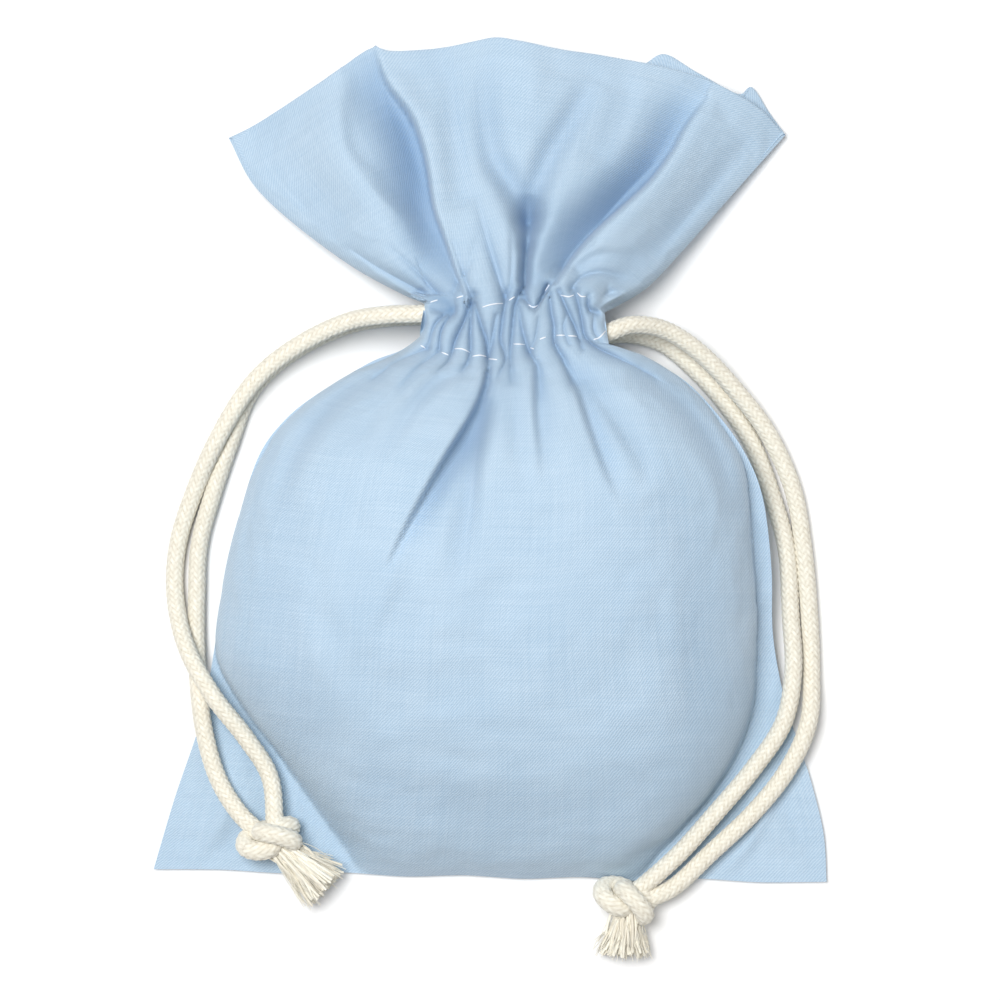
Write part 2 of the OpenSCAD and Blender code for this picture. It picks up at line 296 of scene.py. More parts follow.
def smooth_path(points, step):
    """Catmull-Rom curve through points, resampled every step."""
    points = np.asarray(points, float)
    padded = np.vstack([2 * points[0] - points[1], points, 2 * points[-1] - points[-2]])
    dense = []
    for i in range(1, len(padded) - 2):
        p, q, r, s = padded[i - 1:i + 3]
        t = np.linspace(0, 1, 24, endpoint=False)[:, None]
        dense.append(
            0.5 * (2 * q + (r - p) * t + (2 * p - 5 * q + 4 * r - s) * t**2 + (3 * q - p - 3 * r + s) * t**3)
        )
    dense = np.vstack(dense + [points[-1:]])
    run = run_along(dense)
    at = np.linspace(0, run[-1], max(2, int(round(run[-1] / step)) + 1))
    return np.column_stack([np.interp(at, run, dense[:, k]) for k in range(points.shape[1])])


def path_frames(path):
    """Sideways and upward directions at each point of a path, carried along without twist."""
    tangent = np.gradient(path, axis=0)
    tangent /= np.linalg.norm(tangent, axis=1)[:, None]
    side = np.cross(tangent[0], (0, 0, 1))
    if np.linalg.norm(side) < 0.1:
        side = np.cross(tangent[0], (0, 1, 0))
    sides = []
    for t in tangent:
        side = side - t * np.dot(side, t)
        side /= np.linalg.norm(side)
        sides.append(side.copy())
    return np.array(sides), np.cross(sides, tangent)


def make_mesh(name, vertices, faces, material, attributes):
    mesh = bpy.data.meshes.new(name)
    mesh.vertices.add(len(vertices))
    mesh.vertices.foreach_set("co", np.asarray(vertices, np.float32).ravel())
    faces = np.asarray(faces, np.int32)
    sides = faces.shape[1]
    mesh.loops.add(faces.size)
    mesh.loops.foreach_set("vertex_index", faces.ravel())
    mesh.polygons.add(len(faces))
    mesh.polygons.foreach_set("loop_start", np.arange(0, faces.size, sides, dtype=np.int32))
    mesh.polygons.foreach_set("loop_total", np.full(len(faces), sides, np.int32))
    mesh.update(calc_edges=True)
    mesh.validate()
    for key, values in attributes.items():
        attribute = mesh.attributes.new(key, "FLOAT_VECTOR", "POINT")
        attribute.data.foreach_set("vector", np.asarray(values, np.float32).ravel())
    mesh.polygons.foreach_set("use_smooth", np.full(len(mesh.polygons), True))
    mesh.materials.append(material)
    piece = bpy.data.objects.new(name, mesh)
    bpy.context.scene.collection.objects.link(piece)
    return piece


def grid_faces(rows, cols, wrap=False, first=0):
    """Quads of a grid of points stored row by row; wrap joins the last column to the first."""
    r, c = np.meshgrid(np.arange(rows - 1), np.arange(cols if wrap else cols - 1), indexing="ij")
    a, b = r * cols + c, r * cols + (c + 1) % cols
    return np.stack([a, b, b + cols, a + cols], axis=-1).reshape(-1, 4) + first


def tube_points(path, radius, sides):
    """Rings round a path, the radius given for each point or for each point and angle."""
    side, top = path_frames(path)
    turn = np.arange(sides) / sides * 2 * math.pi
    if np.ndim(radius) < 2:
        radius = np.asarray(radius, float).reshape(-1, 1)
    radius = np.broadcast_to(radius, (len(path), sides))
    around = side[:, None, :] * np.cos(turn)[None, :, None] + top[:, None, :] * np.sin(turn)[None, :, None]
    return path[:, None, :] + radius[:, :, None] * around


def end_cap(ring_index, sides, centre_index, flip):
    k = np.arange(sides)
    a, b = ring_index * sides + k, ring_index * sides + (k + 1) % sides
    c = np.full(sides, centre_index)
    return np.stack([b, a, c, c] if flip else [a, b, c, c], axis=-1)


# ---------------------------------------------------------------- drawcords

CORD_D = 0.004
YARNS = 11
BRAID_PITCH = 0.0165
CORD_SIDES = 40
CORD_STEP = 0.00034

ROUTES = {
    "left_front_strand": [
        (-0.0120, 0.0325, 0.0200), (-0.0160, 0.0325, 0.0200), (-0.0230, 0.0323, 0.0190),
        (-0.0310, 0.0312, 0.0145), (-0.0400, 0.0275, 0.0100), (-0.0485, 0.0220, 0.0072),
        (-0.0550, 0.0150, 0.0062), (-0.0612, 0.0045, 0.0050), (-0.0662, -0.0065, 0.0024),
        (-0.0698, -0.0180, 0.0020), (-0.0704, -0.0295, 0.0024), (-0.0675, -0.0410, 0.0066),
        (-0.0615, -0.0515, 0.0092), (-0.0543, -0.0610, 0.0072), (-0.0490, -0.0700, 0.0060),
        (-0.0478, -0.0815, 0.0085),
    ],
    "left_back_strand": [
        (-0.0120, 0.0325, 0.0080), (-0.0160, 0.0325, 0.0080), (-0.0230, 0.0322, 0.0065),
        (-0.0310, 0.0310, 0.0034), (-0.0400, 0.0273, 0.0020), (-0.0483, 0.0218, 0.0020),
        (-0.0543, 0.0148, 0.0020), (-0.0582, 0.0045, 0.0020), (-0.0619, -0.0065, 0.0020),
        (-0.0650, -0.0180, 0.0020), (-0.0656, -0.0295, 0.0020), (-0.0656, -0.0405, 0.0024),
        (-0.0648, -0.0510, 0.0062), (-0.0634, -0.0610, 0.0056), (-0.0605, -0.0705, 0.0050),
        (-0.0555, -0.0782, 0.0060), (-0.0495, -0.0832, 0.0074),
    ],
    "right_front_strand": [
        (0.0220, 0.0282, 0.0200), (0.0250, 0.0282, 0.0200), (0.0310, 0.0302, 0.0180),
        (0.0385, 0.0292, 0.0130), (0.0465, 0.0242, 0.0088), (0.0545, 0.0160, 0.0054),
        (0.0618, 0.0064, 0.0034), (0.0674, -0.0060, 0.0020), (0.0698, -0.0200, 0.0020),
        (0.0710, -0.0340, 0.0020), (0.0714, -0.0460, 0.0024), (0.0706, -0.0575, 0.0052),
        (0.0660, -0.0680, 0.0050), (0.0585, -0.0775, 0.0050), (0.0490, -0.0865, 0.0050),
        (0.0400, -0.0946, 0.0054), (0.0315, -0.0975, 0.0066),
    ],
    "right_back_strand": [
        (0.0220, 0.0282, 0.0080), (0.0250, 0.0282, 0.0080), (0.0310, 0.0286, 0.0054),
        (0.0385, 0.0265, 0.0026), (0.0453, 0.0210, 0.0020), (0.0522, 0.0134, 0.0020),
        (0.0585, 0.0038, 0.0020), (0.0632, -0.0090, 0.0020), (0.0660, -0.0200, 0.0020),
        (0.0668, -0.0340, 0.0024), (0.0672, -0.0460, 0.0048), (0.0650, -0.0575, 0.0060),
        (0.0585, -0.0675, 0.0060), (0.0505, -0.0770, 0.0060), (0.0425, -0.0860, 0.0060),
        (0.0350, -0.0928, 0.0066), (0.0305, -0.0962, 0.0066),
    ],
}


def braid(path, diameter, sides):
    """Surface of a round braid: two sets of yarns that wind opposite ways and pass over each other."""
    run = run_along(path)[:, None]
    turn = (np.arange(sides) / sides)[None, :]
    a = YARNS * (turn + run / BRAID_PITCH)
    b = YARNS * (turn - run / BRAID_PITCH)
    count = np.floor(a) + np.floor(b)
    over = (count // 2) % 2
    across = np.where(over > 0, a % 1, b % 1)
    along = (count % 2 + np.where(over > 0, b % 1, a % 1)) / 2
    shade = np.sin(np.where(over > 0, np.floor(a % YARNS) * 2.3, np.floor(b % YARNS) * 1.7 + 2))
    crown = np.sqrt(unit(1 - (2 * across - 1) ** 2)) * (0.62 + 0.38 * np.sin(math.pi * along))
    radius = diameter / 2 * (0.83 + 0.20 * crown)
    lengthwise = np.broadcast_to(run / MM, across.shape)
    # The third yarn coordinate is the crown, times a small tone for each yarn; the material uses it to paint
    # the gaps between yarns darker as painted shade
    return radius, np.stack([across + 3 * over, lengthwise, crown * (0.9 + 0.1 * shade)], axis=-1)


def braided_tube(name, points, diameter, material):
    path = smooth_path(points, CORD_STEP)
    radius, yarn = braid(path, diameter, CORD_SIDES)
    vertices = tube_points(path, radius, CORD_SIDES).reshape(-1, 3)
    ends = len(vertices)
    vertices = np.vstack([vertices, path[:1], path[-1:]])
    yarn = np.vstack([yarn.reshape(-1, 3), [[0.5, 0, 0.3], [0.5, 0, 0.3]]])
    faces = np.vstack([
        grid_faces(len(path), CORD_SIDES, wrap=True), end_cap(0, CORD_SIDES, ends, True),
        end_cap(len(path) - 1, CORD_SIDES, ends + 1, False)])
    return make_mesh(name, vertices, faces, material, {"yarn": yarn}), path


KNOT_SIZE = 0.0048
KNOT_TUBE = 0.0019
KNOT_CORD_D = 0.0043


def trefoil(centre, wide, tall, axis):
    """Tight overhand knot: three lobes wound round each other about the axis."""
    t = np.linspace(0, 2 * math.pi, 90, endpoint=False)
    ring = KNOT_SIZE - KNOT_TUBE + KNOT_TUBE * np.cos(3 * t)
    places = np.column_stack([ring * np.cos(2 * t), ring * np.sin(2 * t), KNOT_TUBE * np.sin(3 * t)])
    return np.asarray(centre) + places @ np.array([wide, tall, axis], float)


def closed_braid(name, loop, diameter, material):
    """Braided tube along a closed loop of points; its ends overlap inside the knot."""
    loop = np.vstack([loop, loop[:1]])
    run = run_along(loop)
    at = np.arange(-0.5 * diameter, run[-1] + 0.5 * diameter, CORD_STEP)
    path = np.column_stack([np.interp(at, run, loop[:, k], period=run[-1]) for k in range(3)])
    return braided_tube(name, path, diameter, material)[0]


def knot_frame(at, end):
    ahead = np.array([end[0] - at[0], end[1] - at[1], 0.0])
    ahead /= np.linalg.norm(ahead)
    return ahead, np.array([ahead[1], -ahead[0], 0.0])


def knot(name, at, end, material, lean):
    """Overhand knot tied with both strands of a cord."""
    ahead, across = knot_frame(at, end)
    axis = ahead * math.cos(lean) + across * math.sin(lean)
    wide = across * math.cos(lean) - ahead * math.sin(lean)
    loop = trefoil(at, wide * 1.26, (0, 0, 0.92), axis * 1.08)
    return closed_braid(name, loop, KNOT_CORD_D, material)


TUFT_ROOT = 0.0021
TUFT_TIP = 0.0052


def frayed_line(rng, at, end, kind, thick):
    """One unlaid yarn or fibre: its points, and how far it reaches from the knot."""
    ahead, across = knot_frame(at, end)
    length = np.linalg.norm(np.subtract(end, at)[:2])
    turn = rng.uniform(0, 2 * math.pi)
    spread = math.sqrt(rng.uniform(0, 1))
    reach = length * rng.uniform(0.90, 1.03) * (1 if kind == "yarn" else rng.uniform(0.75, 1.08))
    root = TUFT_ROOT * spread
    tip = TUFT_TIP * spread * (1 if kind == "yarn" else 1.2)
    steps = np.linspace(0, 1, 9)
    widen = root + (tip - root) * steps ** 1.3
    wave = rng.normal(0, 0.0007, 2)[None, :]
    wave = wave * np.sin(steps * rng.uniform(2, 5) + rng.uniform(0, 6))[:, None]
    line = (
        np.asarray(at)[None, :]
        + ahead[None, :] * (0.0025 + (reach - 0.0025) * steps)[:, None]
        + across[None, :] * (widen * math.cos(turn) + wave[:, 0])[:, None]
    )
    line[:, 2] += widen * math.sin(turn) * 0.75 + wave[:, 1]
    drop = (at[2] - end[2]) * steps ** 1.2
    line[:, 2] = np.maximum(line[:, 2] - drop, thick + 0.0001)
    return line, steps, reach


def tassel(name, at, end, material, seed):
    """Frayed ends: unlaid yarns that fan out and bend, with finer fibres between them."""
    rng = np.random.default_rng(seed)
    vertices, faces, yarns = [], [], []
    count = 0
    for kind, total, thick, sides in (("yarn", 150, 0.00033, 6), ("fibre", 320, 0.00007, 4)):
        for _ in range(total):
            line, steps, reach = frayed_line(rng, at, end, kind, thick)
            rings = tube_points(line, thick * (1 - 0.15 * steps ** 3), sides)
            faces.append(grid_faces(len(line), sides, wrap=True, first=count))
            vertices.append(rings.reshape(-1, 3))
            points = len(line) * sides
            shade = rng.uniform(0.35, 1.0)
            start = rng.uniform(0, 40)
            lengthwise = np.repeat(steps * reach / MM, sides)
            yarns.append(np.column_stack([np.full(points, start), lengthwise, np.full(points, shade)]))
            count += points
    return make_mesh(name, np.vstack(vertices), np.vstack(faces), material, {"yarn": np.vstack(yarns)})


KNOTS = {
    "left": {"at": (-0.0486, -0.0832, 0.0078), "end": (-0.0365, -0.0945, 0.0060), "lean": 0.60, "seed": 11},
    "right": {"at": (0.0303, -0.0970, 0.0062), "end": (0.0292, -0.1095, 0.0046), "lean": 0.30, "seed": 12},
}


def add_cords(material):
    for side, place in KNOTS.items():
        body = f"{side}_cord"
        tie = knot(f"{side}_overhand_knot", place["at"], place["end"], material, place["lean"])
        tuft = tassel(f"{side}_frayed_ends", place["at"], place["end"], material, place["seed"])
        for piece, node in ((tie, f"{side}_knot"), (tuft, f"{side}_tassel")):
            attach(piece, body)
            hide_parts(node)
        for which in ("front", "back"):
            node = f"{side}_{which}_strand"
            strand, path = braided_tube(f"{side}_{which}_drawcord", ROUTES[node], CORD_D, material)
            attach(strand, body)
            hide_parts(node)
        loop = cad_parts[f"{side}_cord_loop"]
        loop.data.materials.clear()
        loop.data.materials.append(material)


# ---------------------------------------------------------------- the shape of the sack

# Outline of the sack seen from its front, in millimetres from its bottom seam to the casing
LEFT_SIDE = [(-75.3, -90.6), (-70.5, -74.5), (-64.8, -57.5), (-61.6, -42), (-59.5, -28), (-56.3, -14.5),
             (-51.2, 1), (-45.3, 9.3), (-37.8, 15.3), (-26.6, 22), (-20, 24.6), (-15.6, 27.6)]
RIGHT_SIDE = [(74.9, -93.4), (74.2, -82.7), (71.4, -71), (68.4, -62), (65.2, -51.8), (62.6, -38), (62, -23),
              (59.8, -7.5), (55.6, 2.5), (49.3, 11.2), (42.6, 18), (34.5, 22.8), (29.2, 24.6), (25.6, 25.6)]
BOTTOM = [LEFT_SIDE[0], (-60, -90.7), (-46, -91.5), (-33, -91.3), (-19, -92.2), (-6, -91.9), (7, -92.7),
          (20, -92.3), (33, -93.2), (46, -92.7), (60, -93.5), RIGHT_SIDE[0]]
# The casing's two stitched rows, from left to right
LOWER_ROW = [(-15.6, 27.6), (-12.6, 25.4), (-8.6, 23.8), (-5.5, 24.2), (-2.4, 23.4), (1.2, 22.9),
             (4.6, 24.4),
             (8.4, 24.6), (11.4, 26.4), (16.6, 27), (20.4, 26.6), (25.6, 25.6)]
UPPER_ROW = [(-14.4, 34.9), (-10.4, 34.9), (-6.2, 36.2), (-2.2, 34.8), (2.6, 35.4), (6.2, 36.4), (9.2, 34),
             (12.2, 37.6), (15.6, 36.2), (19.6, 36.6), (22, 34.8), (24.8, 32.8)]
# The frill's two side seams from the casing to the tips, and its mouth edge from left to right
FRILL_LEFT = [(-14.4, 34.9), (-20, 37.4), (-31, 43.6), (-44.2, 53.5), (-53, 62.2), (-58.2, 72)]
FRILL_RIGHT = [(24.8, 32.8), (34.1, 38.4), (42, 46.5), (52.7, 58.6), (65.3, 72.8)]
MOUTH_FRONT = [(-58.2, 72), (-50, 76.4), (-38, 83.6), (-26.6, 91), (-24.4, 91.2), (-21.2, 90.6), (-11, 91.3),
               (-4, 92.6), (1, 93.4), (6, 92.6), (15.2, 90.8), (24, 89.7), (34.7, 88), (45.9, 85.2),
               (54.3, 81.4), (60.5, 77.6), (65.3, 72.8)]
MOUTH_BACK = [(-58.2, 72), (-50, 76), (-38, 82.6), (-25, 89.6), (-12, 90.6), (1, 91.6), (15, 90),
              (25, 89), (33, 88.4), (38.6, 91), (46, 86.6), (54.6, 82), (57.8, 83.6), (61.5, 78.5),
              (65.3, 72.8)]

# Height of the belly along its length: y, crest, seam, left foot, right foot, roundness, fullness
BELLY = np.array([
    (-94, 1.5, 0.9, -29, 33, 4.5, 0.80),
    (-92.6, 5.4, 0.9, -30, 34, 4.5, 0.80),
    (-90.5, 9.8, 0.9, -31.2, 35.6, 4.5, 0.78),
    (-87.5, 14.6, 0.9, -33, 38, 4.5, 0.76),
    (-83, 19.8, 1, -36, 42, 4.4, 0.75),
    (-76, 25.6, 1.1, -40.6, 48, 4.2, 0.74),
    (-66, 31.8, 1.3, -47.2, 54.2, 3.8, 0.70),
    (-56, 36.2, 1.9, -54.2, 58, 3.4, 0.62),
    (-44, 40.2, 4, -60.6, 58.9, 3.1, 0.54),
    (-28, 43, 8, -59.5, 58.4, 3, 0.50),
    (-12, 43.6, 12, -55.6, 57, 2.9, 0.52),
    (0, 42.2, 14.6, -51, 55.2, 2.8, 0.54),
    (9, 39.2, 15.2, -45, 50, 2.7, 0.58),
    (15, 36.2, 15, -38, 45.4, 2.8, 0.60),
    (20, 32.6, 14.6, -30, 39.6, 3.2, 0.58),
    (24, 29.6, 14.2, -20.5, 33.6, 4.5, 0.50),
    (27, 28.4, 14, -16.2, 27.6, 8, 0.42),
    (33, 28, 14, -15, 25.6, 8, 0.40),
    (38, 28, 14, -15, 25.4, 8, 0.40),
])


def along_table(table, y):
    """Smooth values of a table's columns at y."""
    keys = table[:, 0]
    slopes = np.gradient(table[:, 1:], keys, axis=0)
    y = np.clip(y, keys[0], keys[-1])
    i = np.clip(np.searchsorted(keys, y) - 1, 0, len(keys) - 2)
    gap = keys[i + 1] - keys[i]
    t = ((y - keys[i]) / gap)[..., None]
    gap = gap[..., None]
    a, b = table[i, 1:], table[i + 1, 1:]
    return (
        (2 * t**3 - 3 * t**2 + 1) * a + (t**3 - 2 * t**2 + t) * gap * slopes[i]
        + (3 * t**2 - 2 * t**3) * b + (t**3 - t**2) * gap * slopes[i + 1]
    )


def arc_points(points, share):
    """Points at given shares of the length of a smooth line."""
    path = smooth_path(points, 0.4)
    run = run_along(path)
    return np.column_stack([np.interp(share * run[-1], run, path[:, k]) for k in range(2)])


def patch(bottom, top, left, right, across, along):
    """Coons patch between four lines: points[row, column]."""
    b, t = arc_points(bottom, across), arc_points(top, across)
    l, r = arc_points(left, along), arc_points(right, along)
    u, v = across[None, :, None], along[:, None, None]
    return (
        (1 - v) * b[None] + v * t[None] + (1 - u) * l[:, None] + u * r[:, None]
        - ((1 - u) * (1 - v) * b[0] + u * (1 - v) * b[-1] + (1 - u) * v * t[0] + u * v * t[-1])
    )


# Folds, each a line of (x, y, depth), its reach to the left and to the right of its direction, and its
# shape: 1 is a sharp crease, 2 a soft hollow and 4 a pocket with steep sides.
FRILL_FOLDS = [
    # the left wing dives under the middle of the frill
    ([(-25.9, 91, -1), (-23.4, 83.5, -6.5), (-18.6, 76.8, -10), (-16, 70.9, -11.5), (-14.4, 64.2, -12),
      (-13.1, 56.2, -11), (-10.3, 47.8, -8), (-7.6, 40.2, -4), (-6, 36, -2)], 0.55, 8, 2),
    ([(-33, 84, 1), (-34, 76, 2.6), (-32.5, 68, 3), (-27, 60, 2.8), (-20, 53, 2.4),
      (-17, 46, 1.4)], 3, 6, 2),
    ([(-23, 89, 0), (-19, 81, 1.4), (-14.6, 74, 1.8), (-12.4, 64, 1.6), (-10.8, 54, 1.2)], 3.4, 2.4, 2),
    # middle hollow, its branch to the upper right, and the pocket they end in
    ([(-1, 86, -0.8), (-1.2, 77, -2.2), (0.4, 67, -3.2), (4.2, 60.5, -4.2), (7.4, 54, -4)], 3.4, 3, 2),
    ([(22, 84, -0.8), (18.6, 77, -2.4), (13.4, 68, -3), (10.4, 61, -3.6), (8.8, 54, -3.6)], 3, 3, 2),
    ([(8.3, 59, -0.8), (8.3, 56, -3.6), (8.2, 52, -6), (8, 48, -4)], 2.3, 2.3, 2),
    ([(8.2, 52, -2), (7.9, 47, -4.6), (7.5, 43, -4.6), (7.2, 40, -3.4)], 1.3, 1.3, 2),
    ([(7.8, 47, -2), (7.5, 42, -3.5), (7.3, 36, -3)], 1.1, 1.1, 1),
    # long hollow to the right, with a sharp lower border
    ([(47, 81, -1.8), (42.2, 74.4, -5.6), (39.2, 69, -7.8), (34.6, 62.6, -9.6), (28.4, 56.6, -10.4),
      (22.2, 51, -10), (17.2, 45.2, -8.4), (13.8, 39.4, -4)], 0.8, 6.2, 2),
    ([(36, 66, -0.6), (29, 58.5, -1.6), (21.8, 50, -2.4), (16.2, 42.6, -2.8)], 1.3, 1.3, 1),
    ([(47, 76, 1), (40, 65, 1.8), (32, 56.4, 2), (24, 49, 1.6)], 3.4, 2.4, 2),
    # folds at the foot of the frill
    ([(31, 40, -0.6), (27, 41, -1.8), (23, 41.4, -2.6), (19.6, 40.2, -2.8),
      (17.6, 37.6, -2.2)], 1.3, 1.2, 1),
    ([(30.4, 45, -0.8), (24, 45, -1.4), (19, 42.4, -1.8)], 1.8, 1.6, 2),
    ([(-3.4, 58, -0.6), (-1.2, 50, -1.8), (1.2, 42, -3.4), (2.9, 36, -3)], 1.4, 1.2, 1),
    ([(-8.2, 48, -0.8), (-6.2, 42, -1.8), (-4.4, 36.6, -2.4)], 1.2, 1.2, 1),
    ([(-3.2, 48, -0.4), (-5, 42.5, -1.2), (-8.4, 36.5, -2.2)], 1.2, 1.2, 1),
    ([(-31, 47, -1), (-24, 42.4, -2.4), (-16.6, 38.2, -3.2), (-10, 34.4, -2.8)], 1.4, 1.4, 1),
    ([(-22, 47, -0.6), (-16, 41.6, -1.8), (-12.4, 37.6, -2.6), (-9.4, 35, -2.2)], 1.2, 1.2, 1),
    ([(4.4, 50, -0.5), (4.6, 44, -1.4), (4.2, 38, -2)], 1.2, 1, 1),
    ([(56, 70, -1), (46, 58, -2), (37, 48.4, -2.4), (28, 40.4, -1.6)], 3, 3.4, 2),
    # gentle rolls near the mouth
    ([(8, 93, 0.6), (9, 84, 1.2), (8, 74, 0.6)], 4, 4, 2),
    ([(-12, 91, -0.4), (-9, 82, -1), (-7.4, 70, -1.4), (-6.4, 58, -1)], 2.8, 3, 2),
    ([(30, 88, -0.3), (29, 79, -1), (24, 68, -0.8)], 3, 4, 2),
    ([(-48, 74, -0.4), (-42, 64, -0.9), (-33, 54, -0.9)], 4, 5, 2),
]
CASING_FOLDS = [
    ([(-20, 37, -0.8), (-12.6, 33.4, -2.8), (-8.7, 33, -2.8)], 0.9, 1, 1),
    ([(-12.6, 36, -1), (-9.8, 35, -2.2), (-8.6, 33.4, -2.6)], 0.8, 0.8, 1),
    ([(-8.6, 33.4, -2.4), (-12.2, 29.8, -2.8), (-13.6, 24.6, -1.8)], 0.8, 0.8, 1),
    ([(-8.2, 32.6, -2.2), (-10.6, 29, -2.8), (-11.2, 24.6, -2)], 0.7, 0.8, 1),
    ([(-3.6, 36.5, -2.6), (-5.8, 30.6, -3.6), (-7.6, 26.6, -3.6), (-9, 22, -2), (-11.4, 19.6, -0.8)],
     0.8, 1, 1),
    ([(-4.2, 34.2, -2.4), (-4.4, 28.6, -3), (-4.5, 22.8, -2.8), (-6.2, 19.6, -1.2)], 0.7, 0.7, 1),
    ([(-3.4, 34.4, -2.2), (-2, 29.6, -3.2), (-0.8, 25.5, -3.4), (-0.6, 18.1, -3.2), (-1.8, 14, -2.2),
      (-3.2, 9.6, -0.8)], 0.7, 0.8, 1),
    ([(1.2, 31.8, -1.6), (0.2, 26, -2.6), (-0.4, 22.6, -1.8)], 0.9, 0.7, 1),
    ([(3.4, 37, -2.8), (2.6, 31, -3.2), (2.2, 26.4, -3), (3.3, 22.4, -2.2), (1.6, 18.4, -1.2)], 0.7, 0.8, 1),
    ([(7.2, 38.4, -3.8), (5.4, 34.6, -3.2), (4.9, 31, -3), (4.3, 23, -2.6), (4.6, 17.4, -1.2)], 0.8, 0.8, 1),
    ([(6.2, 33.6, -1.8), (6.9, 29, -2.8), (8.4, 23.9, -3.2), (10.3, 20.4, -2.2),
      (10.8, 14, -1.2)], 0.7, 1.1, 1),
    ([(7, 36.6, -2.6), (8.6, 34, -2.4), (9.6, 33.4, -2.4), (11.2, 35.9, -2.6), (12.2, 38.5, -3.2)],
     0.6, 0.7, 1),
    ([(12.8, 36.4, -2.4), (13.2, 32.6, -3), (13.8, 29.4, -3.2), (13.9, 25.9, -3.4), (15.8, 22, -3.2),
      (17.8, 17, -2.4)], 0.8, 1, 1),
    ([(14.8, 37.2, -2.4), (16.7, 33, -2.8), (18.7, 28.5, -2.6), (19.8, 24.6, -1.6)], 0.7, 0.8, 1),
    ([(18.4, 37.4, -2.2), (19.7, 31.6, -3), (20.5, 27.4, -3.4), (23, 25, -3), (28.6, 22.2, -2.2),
      (36, 18.4, -1.4)], 0.8, 1.2, 1),
    ([(10.4, 31.4, -0.8), (9.8, 27.4, -1.4), (8.6, 24, -1.4)], 0.8, 0.8, 1),
    ([(16.4, 32, -0.8), (15.8, 29, -1.4), (17, 25.6, -1.2)], 0.7, 0.7, 1),
    ([(21.2, 36.2, -1.8), (21.4, 33.2, -3.4), (25.2, 32.4, -2.6)], 0.9, 0.9, 1),
    ([(22.4, 31.6, -1.2), (22.4, 28.6, -1.8), (24, 26.2, -1.2)], 0.8, 0.8, 1),
    ([(-14.2, 24.6, -2), (-20.5, 21.8, -2), (-25.5, 18.2, -1.2)], 1, 0.9, 1),
    ([(-11.2, 24, -1.6), (-15.6, 20.6, -1.6), (-19.6, 15.8, -0.8)], 0.9, 0.9, 1),
]
GATHERS = [
    # the deep fold that runs down to the left, and the hollow beside it
    ([(-0.7, 19, -1.4), (-2.4, 13, -3.6), (-5.6, 7, -6.6), (-9.8, 0.2, -7), (-16.6, -12, -4.2),
      (-22.6, -24, 0)], 4.2, 0.5, 2),
    ([(-1.4, 12, -1.4), (-3.4, 1.6, -2.6), (-4.6, -10, -2), (-6.6, -24, -0.6)], 1.8, 3.4, 2),
    ([(-10, -2, 0.6), (-17, -15, 1.3), (-24, -30, 1.1), (-29, -46, 0)], 3.4, 4.6, 2),
    # lesser folds below the casing
    ([(10.1, 21, -1.6), (10.3, 10.7, -2.4), (11, 3, -1.4), (11.6, -6, 0)], 3.6, 1, 2),
    ([(15.6, 24, -2.2), (18.6, 17.4, -3.4), (21.6, 8.1, -3), (24.4, 0, -1.8), (28, -9, 0)], 3, 1, 2),
    ([(19.8, 21, -1), (25.1, 11.8, -2), (31, 2.4, -1.2), (35, -6, 0)], 3.6, 2, 2),
    ([(-5.6, 20, -1.6), (-12.6, 16.2, -2), (-17.5, 10.4, -1.2), (-22, 2, -0.4)], 1.8, 1.8, 2),
    ([(-24, 19.4, -1.4), (-33, 13.6, -2.4), (-41, 4, -2.2), (-46, -8, -0.8)], 2.6, 2.4, 2),
    ([(33, 19.4, -1.2), (42, 12, -2.2), (49, 2, -2), (53, -10, -0.8)], 2.4, 2.8, 2),
    ([(4.5, 19, -0.9), (5.5, 8, -1.2), (6.6, -4, -0.4)], 2.2, 2.4, 2),
]
BELLY_FOLDS = GATHERS + [
    # broad, soft waves over the belly
    ([(40, -10, -0.4), (45, -30, -1.1), (45, -56, -0.8)], 7, 5, 2),
    ([(-44, -16, -0.4), (-46, -36, -1), (-40, -58, -0.8)], 6, 6, 2),
    ([(-24, -70, -0.6), (4, -78, -1), (32, -72, -0.6)], 6, 6, 2),
    ([(20, -12, 0.5), (14, -36, 0.9), (6, -60, 0.3)], 9, 9, 2),
    # the corners: soft pinches that run out of them
    ([(-66, -88, 0.2), (-60, -79, 0.9), (-56.5, -68, 0.6)], 3.4, 2.4, 2),
    ([(-57, -88, 0.1), (-54, -78, 0.2), (-55.5, -66, 0.4)], 1.8, 1.6, 2),
    # room for the left knot to slide over the corner
    ([(-61, -84, -0.5), (-54, -84, -0.9), (-46, -83, -0.6)], 4.5, 4.5, 2),
    ([(69, -88, 0.3), (62, -80, 1), (59, -70, 0.6)], 3.4, 2.6, 2),
    ([(52, -91, 0.2), (58, -84, 0.8), (64, -70, 0.5)], 2, 1.8, 2),
]


def fold_height(x, y, folds):
    """Sum of the folds' heights at points x, y."""
    total = np.zeros_like(x)
    for line, left, right, power in folds:
        line = smooth_path(line, 1.2)
        best = np.full(x.shape, 1e9)
        side = np.zeros_like(x)
        depth = np.zeros_like(x)
        for a, b in zip(line[:-1], line[1:]):
            step = b[:2] - a[:2]
            length = np.hypot(*step)
            t = unit(((x - a[0]) * step[0] + (y - a[1]) * step[1]) / length**2)
            dx, dy = x - a[0] - t * step[0], y - a[1] - t * step[1]
            far = np.hypot(dx, dy)
            near = far < best
            best = np.where(near, far, best)
            side = np.where(near, step[0] * dy - step[1] * dx, side)
            depth = np.where(near, a[2] + t * (b[2] - a[2]), depth)
        reach = np.where(side > 0, left, right)
        total += depth * np.exp(-((best / reach) ** power))
    return total


